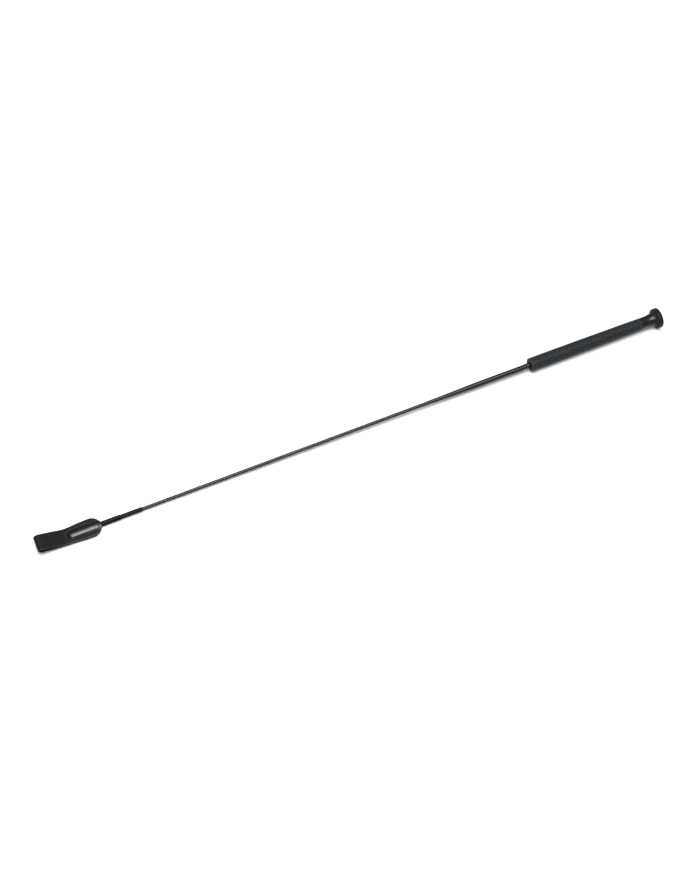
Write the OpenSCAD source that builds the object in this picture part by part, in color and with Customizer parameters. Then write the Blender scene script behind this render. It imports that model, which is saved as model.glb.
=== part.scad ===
// Riding crop: a braided, tapered shaft with a rubber grip, a flared butt cap and a folded leather keeper.
// Millimetres. The crop lies on the plane z = 0, on the cap's rim and on the keeper.
// +X runs from the keeper to the butt, +Z is up, and the origin is under the middle of the crop.

/* [Overall] */
// Length from the fold of the keeper to the face of the end disc
overall_length = 700; // [650:5:750]

/* [Handle] */
// Length of the rubber grip
grip_length = 133.6; // [115:0.2:150]
// Diameter of the grip at its thick end, towards the shaft
grip_diameter = 14.8; // [14:0.1:17]
// Diameter of the grip where it meets the butt cap
grip_rear_diameter = 13.2; // [12.4:0.1:13.8]
// Diameter of the tube that the grip is pulled over
handle_tube_diameter = 9.2; // [8.6:0.1:9.6]
// Length of the butt cap, from the grip to its rear edge
cap_length = 23.4; // [21:0.2:28]
// Length of the cap's straight neck
cap_neck_length = 6; // [3:0.5:6]
// Length of the cap's rim band
rim_length = 5.6; // [5:0.2:7]
// Diameter of the cap's rim
rim_diameter = 22; // [20:0.2:25]
// Diameter of the disc let into the end of the cap
end_disc_diameter = 17.8; // [14:0.1:18]

/* [Shaft] */
// Diameter over the braid in front of the grip
firm_diameter = 6; // [5.8:0.1:6.4]
// Length of the parallel stretch in front of the grip
firm_length = 65; // [40:1:90]
// Length of the cone from the parallel stretch to the slim one
cone_length = 62; // [30:1:90]
// Diameter over the braid at the small end of the cone
slim_diameter = 4; // [3.8:0.1:4.4]
// Diameter over the braid at the tip
tip_diameter = 3.3; // [3:0.1:3.6]
// Thickness of the braid
braid_thickness = 0.4; // [0.3:0.05:0.5]

/* [Neck] */
// Diameter over the thread whipping
whipping_diameter = 4.6; // [4.2:0.1:4.8]
// Length of whipping that shows in front of the keeper
whipping_length = 43; // [30:1:60]
// Diameter over the neck sleeve
neck_sleeve_diameter = 5.4; // [5.2:0.1:5.8]
// Length of the neck sleeve
neck_sleeve_length = 20.5; // [12:0.5:25]

/* [Keeper] */
// Length of the folded keeper
keeper_length = 66; // [64:1:80]
// Width of the keeper where it is stitched to the shaft
keeper_width = 20.8; // [19:0.2:24]
// Width of the keeper's free loop
tongue_width = 18.2; // [17:0.2:19]
// Thickness of the leather
leather = 1.6; // [1.4:0.1:1.8]
// Outside height of the open fold
loop_height = 5.7; // [5:0.1:8]
// Angle by which the free loop curls up at rest, in degrees
loop_curl = 13; // [0:1:15]
// Length of the free loop, from the last stitch line to the fold
loop_length = 29; // [26:0.5:34]
// Distance from stitch to stitch
stitch_pitch = 3; // [2.6:0.1:4]

/* [Hidden] */

$fn = 96;
gap = 0.03;                // clearance between pieces that are glued or pushed together

// Radii over the braid, and of what lies inside it
firm_r = firm_diameter / 2;
held_r = firm_r - 0.2;
slim_r = slim_diameter / 2;
tip_r = tip_diameter / 2;
nose_wall = 0.1;           // the stiffener's wall at the thin edge of its cone
rod_tip_r = tip_r - braid_thickness - gap;
rod_r = slim_r - braid_thickness - nose_wall - 2 * gap;
stiffener_r = firm_r - braid_thickness - gap;

// Places along X in the handle, from the butt towards the tip
butt_x = overall_length / 2;
disc_proud = 0.6;          // how far the end disc stands out of the cap
rim_x = butt_x - disc_proud;
cap_x = rim_x - cap_length;
grip_x = cap_x - grip_length;
disc_seat_x = rim_x - 2.2;
web_x = rim_x - 8.2;       // bottom of the socket that takes the handle tube
seat_end_x = grip_x - 0.2; // past this the handle squeezes the braid to held_r
collar_recess = 0.7;       // the collar's face lies this far behind the grip's lip
collar_length = 2.6;
tube_x = grip_x + collar_recess + collar_length;
rod_end_x = web_x - 0.5;

// Places along X in the shaft and the neck
firm_x = grip_x - firm_length;
cone_x = firm_x - cone_length;
fold_x = -butt_x;
mouth_x = fold_x + keeper_length;
hinge_x = fold_x + loop_length;
whipping_x = mouth_x + whipping_length;

// Grip, collar and cap
grip_r = grip_diameter / 2;
grip_rear_r = grip_rear_diameter / 2;
lip = 1.2;                 // rounding of the grip's front edge
tube_r = handle_tube_diameter / 2;
collar_r = tube_r + 0.8;
rim_r = rim_diameter / 2;
rim_round = 1.2;
disc_r = end_disc_diameter / 2;

// Keeper
stack = 2 * leather;       // the two leaves pressed together
bore_r = whipping_diameter / 2 + 0.05;
ridge_r = bore_r + leather - 0.1;
ridge_nose_x = hinge_x + 3.7 + ridge_r;   // centre of the ridge's round end
tip_cap_x = ridge_nose_x - bore_r + gap;
tip_cap_length = 9.5;
tip_cap_wall = 1.2;
rod_tip_x = tip_cap_x + tip_cap_wall;
stitch_row = ridge_r + 1.4;               // distance from the shaft's axis to a row of stitches
stitch_end_x = mouth_x - 5;
thread_r = 0.3;
knuckle_clearance = 0.35;                 // room for the loop to swing from limit to limit

nose_r = loop_height / 2;                 // radius of the fold's round nose
loop_run = (loop_length - nose_r) / cos(loop_curl);   // from the hinge to the nose's centre

// The crop rests on the front of the rim band and on the ridge, which its weight squashes a little
ridge_squash = 0.25;
rim_rest_x = rim_x - rim_length + rim_round;
lie_angle = asin((rim_r - ridge_r + ridge_squash) / (rim_rest_x - ridge_nose_x));
lie_height = rim_r * cos(lie_angle) - rim_rest_x * sin(lie_angle);

function smooth(u) = u * u * (3 - 2 * u);
function clamped(u) = min(1, max(0, u));

// Places the shaft's frame so that the crop lies on z = 0.
module lie() {
    translate([0, 0, lie_height]) rotate([0, -lie_angle, 0]) children();
}

// A turned piece: the profile's points are [radius, x].
module turned(profile) {
    lie() rotate([0, 90, 0]) rotate_extrude() polygon(profile);
}

// A ring of constant section between two places along X.
module ring(inner_r, outer_r, x0, x1) {
    turned([[inner_r, x0], [outer_r, x0], [outer_r, x1], [inner_r, x1]]);
}

// Points of an arc around [r, x], from angle a0 to angle a1.
function arc(r, x, rr, rx, a0, a1, steps = 10) =
    [for (i = [0:steps]) let (a = a0 + (a1 - a0) * i / steps) [r + rr * cos(a), x + rx * sin(a)]];

// Shaft

module core_rod() {
    color("#d8d2b8")
    turned([[0, rod_tip_x + gap], [rod_tip_r, rod_tip_x + gap], [rod_r, cone_x], [rod_r, rod_end_x],
        [0, rod_end_x]]);
}

module stiffener_tube() {
    inner_r = rod_r + gap;
    color("#6a6a66")
    turned([[inner_r, cone_x], [inner_r + nose_wall, cone_x], [stiffener_r, firm_x],
        [stiffener_r, rod_end_x], [inner_r, rod_end_x]]);
}

module braid_cover() {
    color("#2a2a2b")
    turned([[tip_r - braid_thickness, rod_tip_x + gap], [tip_r, rod_tip_x + gap], [slim_r, cone_x],
        [firm_r, firm_x], [firm_r, seat_end_x], [held_r, seat_end_x],
        [held_r, rod_end_x], [firm_r - braid_thickness, rod_end_x],
        [firm_r - braid_thickness, firm_x], [slim_r - braid_thickness, cone_x]]);
}

// Neck and keeper

module tip_cap() {
    cup_r = bore_r - gap;
    braid_r = tip_r + gap;
    color("#1f1f20")
    turned(concat(
        arc(0, tip_cap_x + cup_r, cup_r, cup_r, -90, 0),
        [[cup_r, tip_cap_x + tip_cap_length], [braid_r, tip_cap_x + tip_cap_length],
            [braid_r, rod_tip_x], [0, rod_tip_x]]));
}

module tip_whipping() {
    start_x = tip_cap_x + tip_cap_length + 0.5;
    inner_r = slim_r - (slim_r - tip_r) * (cone_x - whipping_x) / (cone_x - rod_tip_x) + gap;
    outer_r = whipping_diameter / 2;
    color("#19191a")
    turned([[inner_r, start_x], [outer_r, start_x], [outer_r, whipping_x - 0.6],
        [inner_r + 0.15, whipping_x], [inner_r, whipping_x]]);
}

module neck_sleeve() {
    inner_r = whipping_diameter / 2 + gap;
    outer_r = neck_sleeve_diameter / 2;
    start_x = mouth_x + gap;
    end_x = start_x + neck_sleeve_length;
    color("#141415")
    turned([[inner_r, start_x], [outer_r, start_x], [outer_r, end_x - 2], [inner_r + 0.15, end_x],
        [inner_r, end_x]]);
}

// Half the keeper's width at x: it swells from the loop to the stitched part.
function half_width(x) =
    tongue_width / 2 + (keeper_width - tongue_width) / 2 * smooth(clamped((x - hinge_x) / 26));

module keeper_plan() {
    round_x = mouth_x - keeper_width / 2;
    edge = [for (i = [0:12]) let (x = hinge_x + (round_x - hinge_x) * i / 12) [x, half_width(x)]];
    polygon(concat(edge, [for (i = [12:-1:0]) [edge[i][0], -edge[i][1]]]));
    translate([round_x, 0]) circle(r = keeper_width / 2);
}

// The two leaves pressed together, with the ridge where they close round the shaft.
module keeper_pocket() {
    taper_x = mouth_x - 4;
    color("#29292a")
    difference() {
        lie() {
            linear_extrude(height = stack, center = true) keeper_plan();
            rotate([0, 90, 0]) rotate_extrude() polygon(concat(
                arc(0, ridge_nose_x, ridge_r, ridge_r, -90, 0),
                [[ridge_r, taper_x], [ridge_r - 0.7, mouth_x], [0, mouth_x]]));
        }
        lie() {
            rotate([0, 90, 0]) rotate_extrude() polygon(concat(
                arc(0, ridge_nose_x, bore_r, bore_r, -90, 0),
                [[bore_r, mouth_x + 1], [0, mouth_x + 1]]));
            translate([hinge_x, 0, 0]) rotate([90, 0, 0])
                cylinder(r = leather + knuckle_clearance, h = keeper_width + 2, center = true);
        }
        translate([ridge_nose_x, 0, -2]) cube([2 * keeper_length, keeper_width, 4], center = true);
    }
}

// One stitch bar, lying along X with round ends.
module stitch_bar(length) {
    half = length / 2 - thread_r;
    rotate([0, 90, 0]) rotate_extrude($fn = 24) polygon(concat(
        arc(0, -half, thread_r, thread_r, -90, 0, 2), arc(0, half, thread_r, thread_r, 0, 90, 2)));
}

// A stitch through both leaves: a bar on each face, and the thread between them.
module stitch() {
    for (side = [-1, 1])
        translate([0, 0, side * (leather + thread_r / 2)]) stitch_bar(stitch_pitch * 0.82);
    translate([stitch_pitch * 0.3, 0, 0])
        cylinder(r = thread_r * 0.8, h = stack + thread_r, center = true, $fn = 24);
}

// Two straight rows beside the ridge, joined by a row round its end.
module keeper_stitching() {
    row_count = floor((stitch_end_x - ridge_nose_x) / stitch_pitch);
    turn_count = round(PI * stitch_row / stitch_pitch);
    color("#101011")
    lie() {
        for (side = [-1, 1], i = [0:row_count - 1])
            translate([ridge_nose_x + (i + 0.5) * stitch_pitch, side * stitch_row, 0]) stitch();
        for (i = [0:turn_count - 1])
            let (a = 90 + (i + 0.5) * 180 / turn_count)
                translate([ridge_nose_x + stitch_row * cos(a), stitch_row * sin(a), 0])
                    rotate([0, 0, a + 90]) stitch();
    }
}

// Side outline of the loop, grown inwards by inset, from a fraction of its run to the fold and back.
function loop_side(inset, start) =
    let (half = function (u) leather - inset + (nose_r - leather) * smooth(u))
    concat(
        [for (i = [0:12]) let (u = start + (1 - start) * i / 12) [-loop_run * u, half(u)]],
        [for (i = [1:11]) let (a = 90 + 180 * i / 12)
            [-loop_run + (nose_r - inset) * cos(a), (nose_r - inset) * sin(a)]],
        [for (i = [12:-1:0]) let (u = start + (1 - start) * i / 12) [-loop_run * u, -half(u)]]);

module keeper_tongue() {
    color("#2c2c2d")
    lie() translate([hinge_x, 0, 0]) rotate([0, loop_curl, 0]) rotate([90, 0, 0]) {
        linear_extrude(height = tongue_width, center = true) difference() {
            polygon(loop_side(0, 0));
            polygon(loop_side(leather, 0.14));
        }
        cylinder(r = leather, h = tongue_width, center = true);
    }
}

// Handle

module handle_tube() {
    color("#4b4b4d")
    ring(held_r + gap, tube_r, tube_x + gap, web_x - gap);
}

module front_collar() {
    start_x = grip_x + collar_recess;
    color("#0e0e0f")
    turned([[held_r + gap, start_x], [collar_r - gap - 0.4, start_x], [collar_r - gap, start_x + 0.4],
        [collar_r - gap, tube_x], [held_r + gap, tube_x]]);
}

// The grip's radius swells from the cap to its thick end.
function grip_radius(u) = grip_r - (grip_r - grip_rear_r) * pow(u, 2);

module grip_sleeve() {
    body_x = grip_x + lip;
    body = [for (i = [1:24]) [grip_radius(i / 24), body_x + (cap_x - gap - body_x) * i / 24]];
    color("#2f3236")
    turned(concat(
        [[collar_r, grip_x + 0.3], [collar_r + 0.3, grip_x]],
        arc(grip_r - lip, body_x, lip, lip, -90, 0),
        body,
        [[tube_r + gap, cap_x - gap], [tube_r + gap, tube_x + gap], [collar_r, tube_x + gap]]));
}

// A groove round the rim band, as three profile points.
function groove(x) = [[rim_r, x - 0.35], [rim_r - 0.3, x], [rim_r, x + 0.35]];

module butt_cap() {
    flare_x = cap_x + cap_neck_length;
    band_x = rim_x - rim_length;
    shoulder_r = rim_r - rim_round;
    socket_r = tube_r + gap;
    color("#161718")
    turned(concat(
        [[socket_r, cap_x], [grip_rear_r, cap_x]],
        arc(shoulder_r, flare_x, grip_rear_r - shoulder_r, band_x - flare_x, 0, 90, 16),
        arc(shoulder_r, band_x + rim_round, rim_round, rim_round, -80, 0, 8),
        groove(rim_x - 1.7),
        arc(rim_r - 0.5, rim_x - 0.5, 0.5, 0.5, 0, 90, 6),
        [[disc_r + gap, rim_x], [disc_r + gap, disc_seat_x], [0, disc_seat_x], [0, web_x],
            [socket_r, web_x]]));
}

module end_disc() {
    edge = 0.4;
    color("#1d1e20")
    turned([[0, disc_seat_x + gap], [disc_r, disc_seat_x + gap], [disc_r, butt_x - edge],
        [disc_r - edge, butt_x], [0, butt_x]]);
}

core_rod();
stiffener_tube();
braid_cover();
tip_cap();
tip_whipping();
neck_sleeve();
keeper_pocket();
keeper_stitching();
keeper_tongue();
handle_tube();
front_collar();
grip_sleeve();
butt_cap();
end_disc();
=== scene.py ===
"""Looks of the riding crop: braided shaft, whipped neck, folded leather keeper, pebbled grip and turned cap.

Every piece is worked out in millimetres in the shaft's own frame, where X runs along the shaft towards the
butt, and lay() then puts it on the floor as the CAD source does.
"""

import math

import bpy
import numpy as np
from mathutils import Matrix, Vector, noise


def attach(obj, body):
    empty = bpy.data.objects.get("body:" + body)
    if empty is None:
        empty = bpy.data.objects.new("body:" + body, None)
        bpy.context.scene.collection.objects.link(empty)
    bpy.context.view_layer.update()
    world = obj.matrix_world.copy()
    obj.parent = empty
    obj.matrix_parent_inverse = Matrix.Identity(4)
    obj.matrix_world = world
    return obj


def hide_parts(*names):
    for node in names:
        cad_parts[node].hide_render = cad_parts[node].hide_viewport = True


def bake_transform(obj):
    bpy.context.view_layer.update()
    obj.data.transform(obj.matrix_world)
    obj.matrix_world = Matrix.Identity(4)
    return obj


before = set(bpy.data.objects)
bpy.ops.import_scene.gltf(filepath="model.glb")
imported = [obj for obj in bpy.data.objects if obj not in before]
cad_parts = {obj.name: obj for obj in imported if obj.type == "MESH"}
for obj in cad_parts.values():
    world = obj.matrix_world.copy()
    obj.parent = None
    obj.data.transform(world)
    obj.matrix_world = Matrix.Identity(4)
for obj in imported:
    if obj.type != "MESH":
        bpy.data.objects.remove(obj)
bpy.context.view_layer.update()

MM = 0.001
UV_PER_MM = 0.01

# Places along X, as in the CAD source
FOLD_X = -350.0
HINGE_X = -321.0
BRAID_TIP_X = -308.0
MOUTH_X = -284.0
WHIPPING_X = -241.0
CONE_X = 65.4
FIRM_X = 127.4
GRIP_X = 192.4
CAP_X = 326.0
RIM_X = 349.4
BUTT_X = 350.0

# Radii, as in the CAD source
TIP_R = 1.65
SLIM_R = 2.0
FIRM_R = 3.0
HELD_R = 2.8
WHIPPING_R = 2.3
SLEEVE_R = 2.7
COLLAR_R = 5.4
TUBE_R = 4.6
GRIP_R = 7.4
GRIP_REAR_R = 6.6
RIM_R = 11.0
DISC_R = 8.9
GAP = 0.03              # clearance between pieces that are glued or pushed together

# Keeper
LEATHER = 1.6
SKIVE = 0.3             # how much thinner the leather is pared at the fold
TONGUE_HALF = 9.1
POCKET_HALF = 10.4
BORE_R = WHIPPING_R + 0.05
RIDGE_R = BORE_R + LEATHER - 0.1
RIDGE_NOSE_X = HINGE_X + 3.7 + RIDGE_R
STITCH_ROW = RIDGE_R + 1.4
STITCH_PITCH = 3.0
NOSE_R = 2.85
NOSE_STRETCH = 1.8      # how much longer than high the fold is
CURL = math.radians(13)
LOOP_RUN = (HINGE_X - FOLD_X - NOSE_R) / math.cos(CURL) - NOSE_STRETCH

# How the crop lies on the floor
LIE_ANGLE = math.radians(0.64393)
LIE_HEIGHT = 7.1220


def lay(points):
    """Points in the shaft's frame, in mm, as points in the row frame, in metres, and none under the floor."""
    p = np.asarray(points, float).reshape(-1, 3)
    c, s = math.cos(LIE_ANGLE), math.sin(LIE_ANGLE)
    x = p[:, 0] * c - p[:, 2] * s
    z = LIE_HEIGHT + p[:, 0] * s + p[:, 2] * c
    return np.column_stack([x, p[:, 1], np.maximum(z, 0.0)]) * MM


def smooth(u):
    """A smooth step: 0 up to u = 0, 1 from u = 1, and level at both."""
    u = np.clip(u, 0, 1)
    return u * u * (3 - 2 * u)


def soft_max(a, b, k):
    """The larger of a and b, with a fillet of about k where they cross."""
    return 0.5 * (a + b + np.sqrt((a - b) ** 2 + k * k))


# ---------------------------------------------------------------- meshes


def make_object(name, points, faces, uv=None, level=None):
    """A smooth-shaded mesh object from points in mm.

    For each point, uv holds a place on the piece in mm, and level a number that its shader can read.
    """
    mesh = bpy.data.meshes.new(name)
    mesh.from_pydata(lay(points).tolist(), [], faces)
    mesh.polygons.foreach_set("use_smooth", [True] * len(mesh.polygons))
    if uv is not None:
        corners = np.empty(len(mesh.loops), np.int32)
        mesh.loops.foreach_get("vertex_index", corners)
        layer = mesh.uv_layers.new(name="mm")
        layer.data.foreach_set("uv", (np.asarray(uv, float)[corners] * UV_PER_MM).ravel())
    if level is not None:
        attribute = mesh.attributes.new("level", "FLOAT", "POINT")
        attribute.data.foreach_set("value", np.asarray(level, float).ravel())
    mesh.validate()
    obj = bpy.data.objects.new(name, mesh)
    bpy.context.scene.collection.objects.link(obj)
    return obj


def grid_faces(rows, columns, base=0, closed_rows=False):
    """Quads of a grid whose columns close on themselves, and whose rows do too if closed_rows is set."""
    faces = []
    for r in range(rows if closed_rows else rows - 1):
        a = base + r * columns
        b = base + (r + 1) % rows * columns
        for c in range(columns):
            d = (c + 1) % columns
            faces.append((a + c, a + d, b + d, b + c))
    return faces


def tube_faces(rings, sides, base=0):
    """Faces of a closed tube: its rings joined up, and a face over each end."""
    last = base + (rings - 1) * sides
    faces = grid_faces(rings, sides, base)
    faces.append(tuple(range(base, base + sides))[::-1])
    faces.append(tuple(range(last, last + sides)))
    return faces


def spin(profile, steps, relief=None):
    """A profile of [radius, x] turned round the shaft's axis: its points, places in mm, x and relief.

    relief(x, angle) adds to the radius.
    """
    profile = np.asarray(profile, float)
    angles = np.linspace(0, 2 * math.pi, steps, endpoint=False)
    r, a = np.meshgrid(profile[:, 0], angles, indexing="ij")
    x = np.repeat(profile[:, 1:2], steps, axis=1)
    height = relief(x, a) if relief is not None else np.zeros(x.shape)
    r = r + height
    points = np.stack([x, r * np.sin(a), r * np.cos(a)], axis=-1).reshape(-1, 3)
    uv = np.stack([x, r * a], axis=-1).reshape(-1, 2)
    return points, uv, x, height


def turned(name, profile, steps, relief=None, level=None):
    """A ring turned from a closed profile; its shader sees level(x), or the relief if there is no level."""
    points, uv, x, height = spin(profile, steps, relief)
    seen = level(x) if level is not None else height
    return make_object(name, points, grid_faces(len(profile), steps, closed_rows=True), uv, seen)


def solid_turned(name, profile, steps):
    """A solid piece turned from an open profile that starts and ends beside the axis."""
    points, uv = spin(profile, steps)[:2]
    return make_object(name, points, tube_faces(len(profile), steps), uv)


def arc(r, x, rr, rx, start, end, steps):
    """Profile points of an arc round [r, x], between two angles in degrees."""
    a = np.radians(np.linspace(start, end, steps + 1))
    return np.column_stack([r + rr * np.cos(a), x + rx * np.sin(a)])


def line(r0, x0, r1, x1, steps):
    """Profile points of a straight line, without its first point."""
    u = np.linspace(0, 1, steps + 1)[1:]
    return np.column_stack([r0 + (r1 - r0) * u, x0 + (x1 - x0) * u])


def noise_at(points, scale, seed):
    """Smooth noise from -1 to 1 at each point, with features of about scale mm."""
    shift = Vector((seed * 17.3, seed * 5.9, seed * 11.7))
    return np.array([noise.noise(Vector(p) / scale + shift) for p in points])


# ---------------------------------------------------------------- materials


class Shader:
    """A node material being put together: node() adds a node and links or sets its inputs."""

    def __init__(self, name):
        self.material = bpy.data.materials.new(name)
        self.material.use_nodes = True
        self.nodes = self.material.node_tree.nodes
        self.links = self.material.node_tree.links
        self.surface = self.nodes["Principled BSDF"]

    def put(self, socket, value):
        """Links an input to another node's output, or sets it to a plain value."""
        if isinstance(value, bpy.types.NodeSocket):
            self.links.new(value, socket)
        else:
            socket.default_value = value

    def node(self, kind, inputs=None, **settings):
        made = self.nodes.new(kind)
        for key, value in settings.items():
            setattr(made, key, value)
        for key, value in (inputs or {}).items():
            self.put(made.inputs[key], value)
        return made

    def place(self, stretch=(1, 1, 1)):
        """The place on the piece in mm, from its UV map, with each axis multiplied by stretch."""
        uv = self.node("ShaderNodeUVMap", uv_map="mm")
        scale = [s / UV_PER_MM for s in stretch]
        return self.node("ShaderNodeMapping", {"Vector": uv.outputs[0], "Scale": scale}).outputs[0]

    def solid_place(self, stretch=(1, 1, 1)):
        """The place in space in mm, with each axis multiplied by stretch."""
        where = self.node("ShaderNodeTexCoord").outputs["Object"]
        scale = [s / MM for s in stretch]
        return self.node("ShaderNodeMapping", {"Vector": where, "Scale": scale}).outputs[0]

    def level(self):
        """The number that the mesh carries at each point."""
        return self.node("ShaderNodeAttribute", attribute_name="level").outputs["Fac"]

    def noise(self, place, scale, detail=3.0):
        inputs = {"Vector": place, "Scale": scale, "Detail": detail}
        return self.node("ShaderNodeTexNoise", inputs).outputs[0]

    def cells(self, place, scale, feature="F1"):
        made = self.node("ShaderNodeTexVoronoi", {"Vector": place, "Scale": scale}, feature=feature)
        return made.outputs["Distance"]

    def remap(self, value, low, high, to_low, to_high):
        """The value moved from the range low to high onto the range to_low to to_high, and kept in it."""
        keys = ("Value", "From Min", "From Max", "To Min", "To Max")
        inputs = dict(zip(keys, (value, low, high, to_low, to_high)))
        return self.node("ShaderNodeMapRange", inputs).outputs[0]

    def math(self, operation, a, b=0.0):
        made = self.node("ShaderNodeMath", operation=operation)
        for socket, value in zip(made.inputs, (a, b)):
            self.put(socket, value)
        return made.outputs[0]

    def mix(self, share, a, b):
        """Colour a where share is 0, and b where it is 1."""
        made = self.node("ShaderNodeMix", data_type="RGBA")
        for index, value in ((0, share), (6, a), (7, b)):
            self.put(made.inputs[index], value)
        return made.outputs[2]

    def bump(self, height, depth_mm):
        """A bump of height 0 to 1 as a relief of that depth, stacked on any bump already made."""
        inputs = {"Height": height, "Distance": depth_mm * MM}
        normal = self.surface.inputs["Normal"]
        if normal.is_linked:
            inputs["Normal"] = normal.links[0].from_socket
        self.put(normal, self.node("ShaderNodeBump", inputs).outputs[0])

    def finish(self, **inputs):
        """Sets the surface's inputs, with _ for each space in their names, and gives the material."""
        for key, value in inputs.items():
            self.put(self.surface.inputs[key.replace("_", " ")], value)
        return self.material


def grey(value, blue=0.0):
    """A near-neutral colour; blue moves it towards blue."""
    return (value * (1 - blue), value, value * (1 + blue), 1.0)


def leather_material(fold):
    """Black calf leather: smooth on the loop, pebbled on the sewn part, and raw where the level is 1.

    fold is how far along the strip its fold is.
    """
    s = Shader("black_leather")
    place = s.place()
    along = s.node("ShaderNodeSeparateXYZ", {"Vector": place}).outputs[0]
    from_fold = s.math("ABSOLUTE", s.math("SUBTRACT", along, fold))
    smooth_to, pebbled_from = fold - 42.0, fold - 30.0
    coarse = s.remap(from_fold, smooth_to, pebbled_from, 0.25, 1.0)
    pebbles = s.cells(place, 0.9, "SMOOTH_F1")
    pores = s.cells(place, 2.2)
    creases = s.noise(place, 0.35, 6.0)
    cloud = s.noise(place, 0.08, 2.0)
    s.bump(s.math("MULTIPLY", pebbles, coarse), 0.09)
    s.bump(pores, 0.02)
    s.bump(creases, 0.06)
    raw = s.level()
    return s.finish(
        Base_Color=s.mix(raw, s.mix(cloud, grey(0.002), grey(0.004)), grey(0.002)),
        Roughness=s.remap(raw, 0.0, 1.0, 0.46, 0.9),
        Specular_IOR_Level=s.remap(raw, 0.0, 1.0, 0.16, 0.02),
        Coat_Weight=s.remap(raw, 0.0, 1.0, 0.55, 0.0),
        Coat_Roughness=s.remap(creases, 0.3, 0.7, 0.24, 0.33),
    )


def thread_material():
    s = Shader("waxed_thread")
    fibres = s.noise(s.solid_place(), 6.0, 2.0)
    s.bump(fibres, 0.03)
    shade = s.mix(fibres, grey(0.003), grey(0.009))
    return s.finish(Base_Color=shade, Roughness=0.6, Specular_IOR_Level=0.11)


def braid_material():
    """Black nylon: each strand is a flat bundle of shiny filaments."""
    s = Shader("black_nylon_braid")
    filaments = s.noise(s.place((0.15, 1, 1)), 7.0, 2.0)
    cloud = s.noise(s.solid_place(), 0.05, 2.0)
    s.bump(filaments, 0.02)
    shade = s.mix(cloud, grey(0.002), grey(0.004))
    rough = s.remap(filaments, 0.3, 0.7, 0.14, 0.22)
    return s.finish(Base_Color=shade, Roughness=rough, Specular_IOR_Level=0.38)


def lining_material():
    s = Shader("dark_lining")
    speckle = s.noise(s.solid_place(), 1.5)
    return s.finish(Base_Color=s.mix(speckle, grey(0.008), grey(0.014)), Roughness=0.8)


def whipping_material():
    """Black thread with a warm tinge."""
    s = Shader("black_whipping")
    fibres = s.noise(s.place((1, 0.2, 1)), 9.0, 2.0)
    s.bump(fibres, 0.02)
    shade = s.mix(fibres, (0.004, 0.003, 0.003, 1), (0.009, 0.007, 0.008, 1))
    return s.finish(Base_Color=shade, Roughness=0.42, Specular_IOR_Level=0.09)


def sleeve_material():
    s = Shader("shrunk_sleeve")
    grain = s.noise(s.solid_place(), 0.9, 4.0)
    s.bump(grain, 0.03)
    shade = s.mix(grain, grey(0.002), grey(0.004))
    rough = s.remap(grain, 0.3, 0.7, 0.28, 0.40)
    return s.finish(Base_Color=shade, Roughness=rough, Specular_IOR_Level=0.06)


def rubber_material():
    """Dull rubber with a fine grain and a dusty grey tone on its pebbles, and painted shade in the valleys
    between them.
    """
    s = Shader("grip_rubber")
    place = s.solid_place()
    grain = s.noise(place, 3.0)
    cloud = s.noise(place, 0.06)
    s.bump(grain, 0.04)
    dusty = s.mix(cloud, grey(0.017, 0.14), grey(0.024, 0.10))
    shade = s.mix(s.remap(grain, 0.35, 0.7, 0.0, 0.5), dusty, grey(0.036, 0.10))
    # Painted shade: where the relief sinks below the pebbles' middle, the colour goes near black.
    raised = s.remap(s.level(), -0.11, 0.04, 0.0, 1.0)
    return s.finish(
        Base_Color=s.mix(raised, grey(0.004, 0.18), shade),
        Roughness=s.remap(grain, 0.3, 0.7, 0.48, 0.60),
        Specular_IOR_Level=0.09,
        Sheen_Weight=0.16,
        Sheen_Roughness=0.35,
    )


def cap_material():
    """Smooth moulded plastic: glossy on neck and flare, and dull on the rim band, where the level is 1."""
    s = Shader("cap_plastic")
    place = s.solid_place()
    peel = s.noise(place, 0.5)
    specks = s.noise(place, 4.0, 2.0)
    s.bump(peel, 0.03)
    band = s.level()
    return s.finish(
        Base_Color=s.mix(specks, grey(0.006, 0.08), grey(0.010, 0.05)),
        Roughness=s.mix(band, s.remap(peel, 0.3, 0.7, 0.20, 0.28), grey(0.55)),
        Specular_IOR_Level=s.remap(band, 0.0, 1.0, 0.22, 0.10),
        Sheen_Weight=0.06,
        Sheen_Roughness=0.35,
    )


def disc_material():
    s = Shader("disc_plastic")
    grain = s.noise(s.solid_place(), 1.2, 4.0)
    s.bump(grain, 0.05)
    return s.finish(Base_Color=s.mix(grain, grey(0.018), grey(0.032)), Roughness=0.5)


def collar_material():
    s = Shader("collar_rubber")
    grain = s.noise(s.solid_place(), 2.0)
    s.bump(grain, 0.02)
    shade = s.mix(grain, grey(0.006), grey(0.01))
    return s.finish(Base_Color=shade, Roughness=0.5, Specular_IOR_Level=0.12)


def glass_fibre_material():
    """Pale resin with long fibres in it."""
    s = Shader("glass_fibre")
    fibres = s.noise(s.solid_place((0.04, 1.8, 1.8)), 1.0)
    shade = s.mix(fibres, (0.42, 0.38, 0.24, 1), (0.60, 0.56, 0.40, 1))
    return s.finish(Base_Color=shade, Roughness=0.35)


def inner_plastic_material(name, low, high):
    """Plain plastic, mottled between two greys."""
    s = Shader(name)
    grain = s.noise(s.solid_place(), 1.0)
    s.bump(grain, 0.02)
    return s.finish(Base_Color=s.mix(grain, grey(low), grey(high)), Roughness=0.45)


def floor_material():
    """Matt white, lifted a little so that shadows stay soft."""
    s = Shader("pale_floor")
    return s.finish(
        Base_Color=grey(0.62),
        Roughness=1.0,
        Specular_IOR_Level=0.0,
        Emission_Color=grey(1.0),
        Emission_Strength=0.13,
    )


# ---------------------------------------------------------------- shaft

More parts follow.
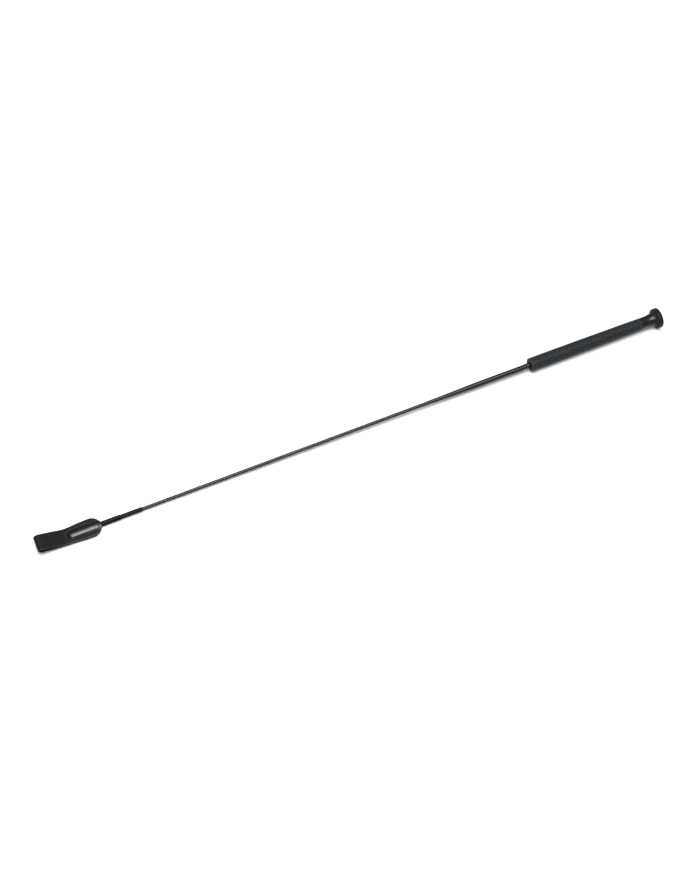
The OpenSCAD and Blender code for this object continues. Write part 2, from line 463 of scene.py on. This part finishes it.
STRANDS = 8             # in each direction
LAY = 24.0              # length of one turn of a strand
STRAND_FILL = 0.96      # share of its lane that a strand covers
STRAND_DEPTH = 0.2      # how much deeper a strand lies where it passes under
STRAND_SNAP = 1.45      # how sharply a strand changes from over to under
STRAND_GRAIN = 10.0     # keeps the filaments of one strand apart from the next one's
STRAND_HALF = 0.8       # about half a strand's width, for its filaments
BRAID_STEP = 0.36
BRAID_START = WHIPPING_X - 3.0
BRAID_END = GRIP_X + 4.0

# A strand's section: shares of its half width, and drops from its top in mm
STRAND_ACROSS = np.array([-1.0, -0.93, -0.5, 0.0, 0.5, 0.93, 1.0, 0.0])
STRAND_DROP = np.array([-0.14, -0.085, -0.02, 0.0, -0.02, -0.085, -0.14, -0.2])


def braid_radius(x):
    """The radius over the braid at x."""
    places = [BRAID_TIP_X, CONE_X, FIRM_X, GRIP_X, GRIP_X + 0.4]
    return np.interp(x, places, [TIP_R, SLIM_R, FIRM_R, FIRM_R, HELD_R])


def braid_strands(name, way):
    """The strands that wind one way (+1 or -1), two over and two under the others."""
    x = np.arange(BRAID_START, BRAID_END, BRAID_STEP)
    long_x = np.repeat(x[:, None], len(STRAND_ACROSS), axis=1)
    outer = braid_radius(x)
    crossing = 2 * STRANDS * x / LAY
    half_angle = STRAND_FILL * math.pi / STRANDS
    points, uv, faces = [], [], []
    for strand in range(STRANDS):
        phase = 2 * strand + way * crossing - 0.5
        over = way * np.clip(STRAND_SNAP * np.cos(0.5 * math.pi * phase), -1, 1)
        surface = outer - 0.5 * STRAND_DEPTH * (1 - over)
        middle = 2 * math.pi * strand / STRANDS + way * 2 * math.pi * x / LAY
        r = surface[:, None] + STRAND_DROP
        a = middle[:, None] + STRAND_ACROSS * half_angle
        grain = np.broadcast_to(strand * STRAND_GRAIN + STRAND_HALF * STRAND_ACROSS, a.shape)
        faces += tube_faces(len(x), len(STRAND_ACROSS), strand * a.size)
        points.append(np.stack([long_x, r * np.sin(a), r * np.cos(a)], axis=-1).reshape(-1, 3))
        uv.append(np.stack([long_x, grain], axis=-1).reshape(-1, 2))
    return make_object(name, np.concatenate(points), faces, np.concatenate(uv))


def braid_lining():
    """What closes the small gaps between the strands, and the braid where it is out of sight."""
    tip, end = BRAID_TIP_X + 0.5, RIM_X - 8.9
    depth = 0.34            # how far under the strands it lies
    seen = np.linspace(BRAID_START + 1.0, BRAID_END - 1.0, 60)
    profile = np.vstack([
        [[TIP_R - 0.37, tip], [TIP_R, tip], [braid_radius(BRAID_START), BRAID_START]],
        np.column_stack([braid_radius(seen) - depth, seen]),
        [[HELD_R - 0.02, BRAID_END], [HELD_R - 0.02, end], [FIRM_R - 0.4, end]],
        [[FIRM_R - 0.4, FIRM_X], [SLIM_R - 0.39, CONE_X]],
    ])
    return turned("braid_lining", profile, 48)


def whipping():
    """Thread wound round the neck, turn beside turn, tapering off under a last smooth coat."""
    pitch = 0.45
    thread_depth = 0.08
    tail = 0.6
    start = MOUTH_X - 12.0
    x = np.arange(start, WHIPPING_X - tail, pitch / 6)
    inner = braid_radius(x) + GAP
    profile = np.vstack([
        np.column_stack([np.full(len(x), WHIPPING_R - thread_depth), x]),
        arc(WHIPPING_R - 0.5 - thread_depth, WHIPPING_X - tail, 0.5, 0.5, 0, 70, 5),
        [[inner[-1] + GAP, WHIPPING_X], [inner[-1], WHIPPING_X], [inner[0], start]],
    ])
    threads = len(x)

    def relief(xs, angle):
        turn = (xs / pitch + angle / (2 * math.pi)) % 1.0
        height = thread_depth * np.sqrt(np.maximum(0, 1 - (2 * turn - 1) ** 2))
        height[threads:] = 0
        return height

    return turned("neck_whipping", profile, 32, relief)


def neck_sleeve():
    """A shrunk sleeve: it shows a trace of what lies under it and ends in a small lip."""
    start, end = MOUTH_X + 0.05, MOUTH_X + 20.5
    inner = WHIPPING_R + GAP
    lip = 1.2
    body = np.linspace(start + 0.4, end - lip - 0.4, 60)
    waves = 0.025 * np.sin(body * 2.1) + 0.02 * np.sin(body * 0.83 + 1.0)
    profile = np.vstack([
        [[inner, start], [SLEEVE_R - 0.2, start]],
        np.column_stack([SLEEVE_R - 0.05 + waves, body]),
        arc(WHIPPING_R + 0.2, end - lip, SLEEVE_R - WHIPPING_R - 0.25, lip, 10, 90, 6),
        [[inner, end]],
    ])
    return turned("shrunk_sleeve", profile, 48)


# ---------------------------------------------------------------- handle


def pebbles(x, angle, radius, size, depth):
    """Rounded pebbles of about size mm all over a turned surface, in rows that are shaken out of line."""
    around = round(2 * math.pi * radius / size)
    along = int((x.max() - x.min()) / size) + 4
    rng = np.random.default_rng(seed=5)
    most, lowest, reach = 0.3, 0.75, 0.72   # largest shake, lowest pebble, and a pebble's radius, as shares
    shake = rng.uniform(-most, most, (2, along, around))
    height = rng.uniform(lowest, 1.0, (along, around))
    u, v = (x - x.min()) / size + 1, angle * around / (2 * math.pi)
    row, column = np.floor(u).astype(int), np.floor(v).astype(int)
    best = np.zeros(x.shape)
    for i in (-1, 0, 1):
        for j in (-1, 0, 1, 2):
            r, c = row + i, (column + j) % around
            du = u - (r + 0.5 + shake[0, r, c])
            dv = v - (column + j + 0.5 * (r % 2) + shake[1, r, c])
            best = np.maximum(best, height[r, c] * (1 - smooth(np.hypot(du, dv) / reach)))
    return depth * best


def grip():
    """The grip: a rounded lip at its mouth, and pebbles from there to the cap."""
    lip = 1.2
    edge = 0.35
    row_step = 0.42
    pebble_size, pebble_depth = 1.7, 0.24
    front_fade, rear_fade = 4.0, 1.5    # lengths over which the pebbles rise from each end
    mouth_depth = GRIP_X + 3.4
    start = GRIP_X + lip
    body_x = np.arange(start, CAP_X - 0.3, row_step)
    u = (body_x - GRIP_X - lip) / (CAP_X - GRIP_X - lip)
    body = np.column_stack([GRIP_R - (GRIP_R - GRIP_REAR_R) * u * u, body_x])
    front = np.vstack([
        [[COLLAR_R, GRIP_X + 3.2], [COLLAR_R, GRIP_X + 0.9], [COLLAR_R, GRIP_X + edge]],
        arc(COLLAR_R + edge, GRIP_X + edge, edge, edge, 180, 270, 4),
        arc(GRIP_R - lip, start, lip, lip, -90, -6, 8),
    ])
    rear = np.vstack([
        arc(GRIP_REAR_R - 0.3, CAP_X - 0.3, 0.3, 0.27, 20, 90, 3),
        [[TUBE_R + GAP, CAP_X - GAP], [TUBE_R + GAP, mouth_depth], [COLLAR_R, mouth_depth]],
    ])
    rows = slice(len(front), len(front) + len(body))

    def relief(x, angle):
        height = np.zeros(x.shape)
        rise = smooth((x[rows] - GRIP_X - lip) / front_fade)
        fade = rise * smooth((CAP_X - 0.5 - x[rows]) / rear_fade)
        bumps = pebbles(x[rows], angle[rows], GRIP_R, pebble_size, pebble_depth)
        height[rows] = fade * (bumps - pebble_depth / 2)
        return height

    return turned("pebbled_grip", np.vstack([front, body, rear]), 112, relief)


def cap():
    """The flared cap: a smooth neck, a bell up to the rim band, a rounded bead and one fine groove."""
    flare_x = CAP_X + 6.0
    band_x = RIM_X - 5.6
    rim_round = 1.2
    shoulder = RIM_R - rim_round
    neck_edge = 0.3
    rim_edge = 0.5
    groove_x = RIM_X - 1.7
    groove_r = RIM_R - 0.28
    seat_x = RIM_X - 2.2
    dulling, dull_x = 3.4, band_x - 4.2
    profile = np.vstack([
        [[TUBE_R + GAP, CAP_X + 0.02], [GRIP_REAR_R - 0.35, CAP_X + 0.02]],
        arc(GRIP_REAR_R - neck_edge, CAP_X + 0.35, neck_edge, neck_edge, -70, 0, 4),
        line(GRIP_REAR_R, CAP_X + 0.35, GRIP_REAR_R, flare_x, 8),
        arc(shoulder, flare_x, GRIP_REAR_R - shoulder, band_x - flare_x, 2, 86, 26),
        arc(shoulder, band_x + rim_round, rim_round, rim_round, -80, 0, 10),
        line(RIM_R, band_x + rim_round, RIM_R, groove_x - 0.4, 4),
        [[RIM_R - 0.06, groove_x - 0.25], [groove_r, groove_x - 0.06], [groove_r, groove_x + 0.06]],
        [[RIM_R - 0.06, groove_x + 0.25], [RIM_R, groove_x + 0.4]],
        line(RIM_R, groove_x + 0.4, RIM_R, RIM_X - rim_edge, 2),
        arc(RIM_R - rim_edge, RIM_X - rim_edge, rim_edge, rim_edge, 6, 90, 7),
        line(RIM_R - rim_edge, RIM_X, DISC_R + 0.25, RIM_X, 3),
        [[DISC_R + 0.05, RIM_X - 0.2], [DISC_R + 0.04, seat_x], [TUBE_R + GAP, seat_x]],
    ])
    return turned("flared_cap", profile, 128, level=lambda x: smooth((x - dull_x) / dulling))


def end_disc():
    """The disc let into the butt, with a shallow ring and a slightly hollow middle."""
    edge = 0.4
    back = RIM_X - 2.15
    ring_outer, ring_inner = 6.6, 5.85
    ring_depth = 0.18
    profile = np.vstack([
        [[0.02, back], [DISC_R, back]],
        line(DISC_R, back, DISC_R, BUTT_X - edge, 3),
        arc(DISC_R - edge, BUTT_X - edge, edge, edge, 8, 90, 6),
        line(DISC_R - edge, BUTT_X, ring_outer, BUTT_X, 3),
        [[ring_outer - 0.25, BUTT_X - ring_depth], [ring_inner + 0.25, BUTT_X - ring_depth]],
        [[ring_inner, BUTT_X - 0.02]],
        line(ring_inner, BUTT_X - 0.02, 2.0, BUTT_X - 0.12, 4),
        [[0.02, BUTT_X - 0.15]],
    ])
    return solid_turned("butt_disc", profile, 96)


def collar():
    """The ring in the grip's mouth, with both its front edges rounded."""
    edge = 0.4
    start, back = GRIP_X + 0.7, GRIP_X + 3.3
    inner, outer = HELD_R + GAP, COLLAR_R - GAP
    profile = np.vstack([
        [[inner, back], [inner, start + 0.5]],
        arc(inner + edge, start + edge, edge, edge, 180, 270, 4),
        line(inner + edge, start, outer - 0.5, start, 3),
        arc(outer - edge, start + edge, edge, edge, -90, 0, 4),
        [[outer, back]],
    ])
    return turned("mouth_collar", profile, 64)


# ---------------------------------------------------------------- keeper

RIM_ROUND = 0.35        # how far in from its edge a leaf's rim is rounded
RIM_RAW = {1: 0.5, -1: 0.1}     # how raw the rims of the upper and the lower leaf look

# Round a leaf's rim, from its outer face to its inner one: mm in from the edge, and share of its thickness
RIM = [(0.10, 0.07), (0.0, 0.22), (0.0, 0.5), (0.0, 0.78), (0.10, 0.93)]


def half_width(x):
    """Half the strip's width at x: narrow on the loop, wide on the sewn part, round at the mouth."""
    widening = 26.0         # length over which the loop's width grows to the sewn part's
    nip, nip_run = 0.5, 5.0     # how much narrower the fold is, and the length over which it narrows
    swell = TONGUE_HALF + (POCKET_HALF - TONGUE_HALF) * smooth((x - HINGE_X) / widening)
    waist = nip * smooth((FOLD_X + nip_run - x) / nip_run) ** 2
    round_x = MOUTH_X - POCKET_HALF
    beyond = np.clip(x - round_x, 0, POCKET_HALF)
    end = np.sqrt(POCKET_HALF**2 - beyond**2)
    neck = RIDGE_R - 0.5
    fillet = 0.8
    return np.where(x > round_x, soft_max(end, neck, fillet), swell - waist)


def ridge_distance(x, y):
    """Distance from the line that the buried shaft runs along."""
    return np.hypot(np.maximum(RIDGE_NOSE_X - x, 0), y)


def outer_height(x, y):
    """Outer face of a leaf: a vault over the shaft, held down along the stitches."""
    fall = 0.057            # how fast the vault falls away from its crest
    mouth_drop, mouth_run = 0.9, 5.0    # how far it sinks at the mouth, and the length over which it does
    foot, foot_width = STITCH_ROW + 0.15, 0.95
    groove_depth, groove_half = 0.07, 0.5
    fillet, margin = 0.25, 0.02
    d = ridge_distance(x, y)
    vault = RIDGE_R - fall * d**2 - mouth_drop * smooth((x - MOUTH_X + mouth_run) / mouth_run)
    raised = smooth((foot - d) / foot_width)
    groove = groove_depth * np.exp(-(((d - STITCH_ROW) / groove_half) ** 2))
    return soft_max(LEATHER - groove, raised * vault - (1 - raised), fillet) - margin


def inner_height(x, y):
    """Inner face of a leaf: it touches its twin, apart from the bore for the shaft."""
    seam, fillet = 0.02, 0.05
    bore = np.sqrt(np.maximum(BORE_R**2 - ridge_distance(x, y) ** 2, 0))
    return soft_max(bore, seam, fillet)


def loop_half(u, inset):
    """Half the height of the free loop at a share u of its run, inset mm below its outer face."""
    early = 0.8             # below 1, the loop opens sooner after the hinge
    return LEATHER - inset + (NOSE_R - LEATHER) * smooth(np.clip(u, 0, 1) ** early)


def curled(x, z):
    """Turns points beside the hinge up by the loop's curl."""
    c, s = math.cos(CURL), math.sin(CURL)
    return HINGE_X + x * c + z * s, -x * s + z * c


def strip_rows():
    """The rows across the strip, from one end to the other: their kind, where they are, and their leaf.

    The place is x on the pocket, a share of its run on the loop, and an angle on the nose. The leaf is 1 for
    the upper one and -1 for the lower one.
    """
    row_step = 0.42
    mouth = np.linspace(MOUTH_X, MOUTH_X - 3.0, 9)
    pocket = np.concatenate([mouth, np.arange(MOUTH_X - 3.4, HINGE_X + 1.2, -row_step)])
    loop = np.linspace(0.045, 1, 62)
    nose = np.radians(np.linspace(90, 270, 30))[1:-1]
    rows = [("pocket", x, 1) for x in pocket]
    rows += [("loop", u, 1) for u in loop]
    rows += [("nose", a, 1) for a in nose]
    rows += [("loop", u, -1) for u in loop[::-1]]
    rows += [("pocket", x, -1) for x in pocket[::-1]]
    return rows


def strip_row(kind, place, side, y):
    """Outer and inner points of one row, and its half width; y holds places across it as shares of that."""
    if kind == "pocket":
        half = float(half_width(np.array(place)))
        across = y * half
        x = np.full(len(y), place)
        outer = np.column_stack([x, across, side * outer_height(x, across)])
        inner = np.column_stack([x, across, side * inner_height(x, across)])
        return outer, inner, half
    if kind == "loop":
        flat_x = -LOOP_RUN * place
        thickness = LEATHER - SKIVE * smooth(2 * place)
        ends = [(flat_x, side * loop_half(place, inset)) for inset in (0, thickness)]
    else:
        radii = (NOSE_R, NOSE_R - LEATHER + SKIVE)
        reach = [(r + NOSE_STRETCH) * math.cos(place) for r in radii]
        ends = [(-LOOP_RUN + x, r * math.sin(place)) for x, r in zip(reach, radii)]
    placed = [curled(*end) for end in ends]
    half = float(half_width(np.array(placed[0][0])))
    across = y * half
    outer, inner = [np.column_stack([np.full(len(y), x), across, np.full(len(y), z)]) for x, z in placed]
    return outer, inner, half


def keeper():
    """One strip of leather, folded into two leaves with rounded rims; and how long the strip is."""
    face = np.linspace(-1, 1, 81)
    flat = np.zeros(len(face))
    sunk = np.array([share for _, share in RIM])
    depth = np.concatenate([flat, sunk, flat + 1, sunk[::-1]])
    uv_turn = 40.0          # keeps the two faces of a leaf apart in the UV map
    climb = 0.3             # share of a rise that counts as travel along the strip
    sway_depth, dent_depth = 0.10, 0.035
    points, uv, level = [], [], []
    travelled, before = 0.0, None
    rows = strip_rows()
    for kind, place, side in rows:
        half = strip_row(kind, place, side, np.zeros(1))[2]
        shares = face * (1 - RIM_ROUND / half)
        edge = np.array([1 - inward / half for inward, _ in RIM])
        across = np.concatenate([shares, edge, shares[::-1], -edge[::-1]])
        outer, inner, half = strip_row(kind, place, side, across)
        middle = outer[len(face) // 2]
        if before is not None:
            travelled += float(np.hypot(middle[0] - before[0], climb * (middle[2] - before[2])))
        before = middle
        points.append(outer + (inner - outer) * depth[:, None])
        uv.append(np.column_stack([np.full(len(across), travelled), across * half + depth * uv_turn]))
        level.append(np.where(depth > 0.95, 1.0, np.where(depth > 0.05, RIM_RAW[side], 0.0)))
    count = len(depth)
    points = np.concatenate(points)
    sway = noise_at(points * [1, 1, 0], scale=9.0, seed=1)
    dents = noise_at(points * [1, 1, 0.6], scale=3.2, seed=2)
    points[:, 2] += sway_depth * sway + dent_depth * dents
    faces = grid_faces(len(rows), count)
    for base, turn in ((0, 1), (count * (len(rows) - 1), -1)):
        faces += [tuple(base + i for i in f)[::turn] for f in end_faces(len(face), len(RIM))]
    leaf = make_object("leather_keeper", points, faces, np.concatenate(uv), np.concatenate(level))
    return leaf, travelled


def end_faces(face, rim):
    """Faces that close the cut end of a leaf, over one row's loop of face, rim, face and rim points."""
    back = face + rim
    total = 2 * (face + rim)
    faces = []
    for i in range(face - 1):
        faces.append((i + 1, i, back + face - 1 - i, back + face - 2 - i))
    faces.append(tuple(range(back, face - 2, -1)))
    faces.append((0, *range(total - 1, back + face - 2, -1)))
    return faces


def stitch_centres():
    """Place and direction of each stitch: two rows, and a half turn round the end of the ridge."""
    places = []
    unsewn = 5.0            # length left without stitches at the mouth
    count = int((MOUTH_X - unsewn - RIDGE_NOSE_X) / STITCH_PITCH)
    for side in (-1, 1):
        for i in range(count):
            places.append((RIDGE_NOSE_X + (i + 0.5) * STITCH_PITCH, side * STITCH_ROW, 0.0))
    turns = round(math.pi * STITCH_ROW / STITCH_PITCH)
    for i in range(turns):
        a = math.pi / 2 + (i + 0.5) * math.pi / turns
        x, y = RIDGE_NOSE_X + STITCH_ROW * math.cos(a), STITCH_ROW * math.sin(a)
        places.append((x, y, a + math.pi / 2))
    return places


def stitches():
    """Two-ply waxed thread: each stitch arches out of one hole and into the next, on both faces."""
    half_length = 1.18
    ply_r = 0.17
    ply_offset = 0.13       # from the middle of the thread to the middle of a ply
    ply_twist = 3.4         # half the angle that a ply winds through in one stitch
    along = np.linspace(-1, 1, 15)
    sides = 7
    ring = np.linspace(0, 2 * math.pi, sides, endpoint=False)
    sunk, dive = 0.12, 0.75     # how deep a stitch lies at its middle, and how much deeper at its ends
    taper = 0.25            # how much thinner a ply is at its ends
    arch = LEATHER - sunk - dive * np.abs(along) ** 4
    thick = ply_r * (1 - taper * along**6)
    local_x = np.repeat((half_length * along)[:, None], sides, axis=1)
    points, faces = [], []
    for x, y, turn in stitch_centres():
        c, s = math.cos(turn), math.sin(turn)
        for face in (1, -1):
            for ply in (0, math.pi):
                twist = along * ply_twist + ply
                height = arch + ply_offset * np.cos(twist)
                sway = ply_offset * np.sin(twist)
                local_y = sway[:, None] + thick[:, None] * np.sin(ring)
                local_z = face * (height[:, None] + thick[:, None] * np.cos(ring))
                placed = [x + local_x * c - local_y * s, y + local_x * s + local_y * c, local_z]
                faces += tube_faces(len(along), sides, len(points) * len(along) * sides)
                points.append(np.stack(placed, axis=-1).reshape(-1, 3))
    return make_object("keeper_stitches", np.concatenate(points), faces)


# ---------------------------------------------------------------- putting it together


def dress(obj, material, slot_name, *nodes, body="crop"):
    """Gives a piece its material, lets it stand for CAD nodes, and ties it to its body, if any; slot_name is
    not used.
    """
    obj.data.materials.append(material)
    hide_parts(*nodes)
    if body:
        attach(obj, body)


def dress_cad(node, material):
    """Gives a CAD node that stays in sight a new material."""
    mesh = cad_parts[node].data
    mesh.materials.clear()
    mesh.materials.append(material)


braid = braid_material()
for name, way in (("braid_right", 1), ("braid_left", -1)):
    dress(braid_strands(name, way), braid, "braid", "braid_cover")
dress(braid_lining(), lining_material(), "braid", "braid_cover")
dress(whipping(), whipping_material(), "thread", "tip_whipping")
dress(neck_sleeve(), sleeve_material(), "shrink_sleeve", "neck_sleeve")
dress(grip(), rubber_material(), "grip_rubber", "grip_sleeve")
dress(collar(), collar_material(), "collar_rubber", "front_collar")
dress(cap(), cap_material(), "cap_plastic", "butt_cap")
dress(end_disc(), disc_material(), "disc_plastic", "end_disc")
dress(stitches(), thread_material(), "stitch_thread", "keeper_stitching")

leather, strip_length = keeper()
dress(leather, leather_material(strip_length / 2), "leather", "keeper_pocket", "keeper_tongue", body=None)
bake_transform(leather)

dress_cad("core_rod", glass_fibre_material())
dress_cad("stiffener_tube", inner_plastic_material("stiffener_resin", 0.10, 0.16))
dress_cad("handle_tube", inner_plastic_material("handle_tube_plastic", 0.05, 0.08))
dress_cad("tip_cap", inner_plastic_material("tip_cap_plastic", 0.01, 0.02))

# ---------------------------------------------------------------- stage, light and camera


def area_light(name, place, target, size, power):
    """A rectangular lamp that faces its target."""
    data = bpy.data.lights.new(name, "AREA")
    data.shape = "RECTANGLE"
    data.size, data.size_y = size
    data.energy = power
    obj = bpy.data.objects.new(name, data)
    obj.location = place
    obj.rotation_mode = "QUATERNION"
    obj.rotation_quaternion = (Vector(target) - Vector(place)).to_track_quat("-Z", "Y")
    bpy.context.scene.collection.objects.link(obj)


def make_floor(reach):
    """A square of floor that reaches that far, in metres, each way from the origin."""
    mesh = bpy.data.meshes.new("floor")
    corners = [(-reach, -reach, 0), (reach, -reach, 0), (reach, reach, 0), (-reach, reach, 0)]
    mesh.from_pydata(corners, [], [(0, 1, 2, 3)])
    obj = bpy.data.objects.new("floor", mesh)
    mesh.materials.append(floor_material())
    bpy.context.scene.collection.objects.link(obj)


def make_world(level):
    """An even grey sky."""
    world = bpy.data.worlds.new("studio")
    world.use_nodes = True
    world.node_tree.nodes["Background"].inputs[0].default_value = (level, level, level, 1)
    bpy.context.scene.world = world


def make_camera(azimuth, elevation, distance, target, lens):
    """A camera that looks at its target from two angles in degrees and a distance in metres."""
    data = bpy.data.cameras.new("camera")
    data.sensor_width = 36.0
    data.lens = lens
    data.clip_start, data.clip_end = 0.05, 50.0
    a, e = math.radians(azimuth), math.radians(elevation)
    back = Vector((math.sin(a) * math.cos(e), -math.cos(a) * math.cos(e), math.sin(e)))
    obj = bpy.data.objects.new("camera", data)
    obj.rotation_mode = "QUATERNION"
    obj.location = Vector(target) + back * distance
    obj.rotation_quaternion = (-back).to_track_quat("-Z", "Y")
    bpy.context.scene.collection.objects.link(obj)
    bpy.context.scene.camera = obj


make_floor(reach=8.0)
make_world(level=0.11)
area_light("softbox", place=(-0.08, -0.53, 2.5), target=(-0.08, -0.53, 0.0), size=(1.88, 1.73), power=159)
make_camera(azimuth=-23.757, elevation=55.9, distance=1.489, target=(-0.01481, 0.00127, 0.0), lens=59.77)
bpy.context.scene.view_settings.view_transform = "Standard"
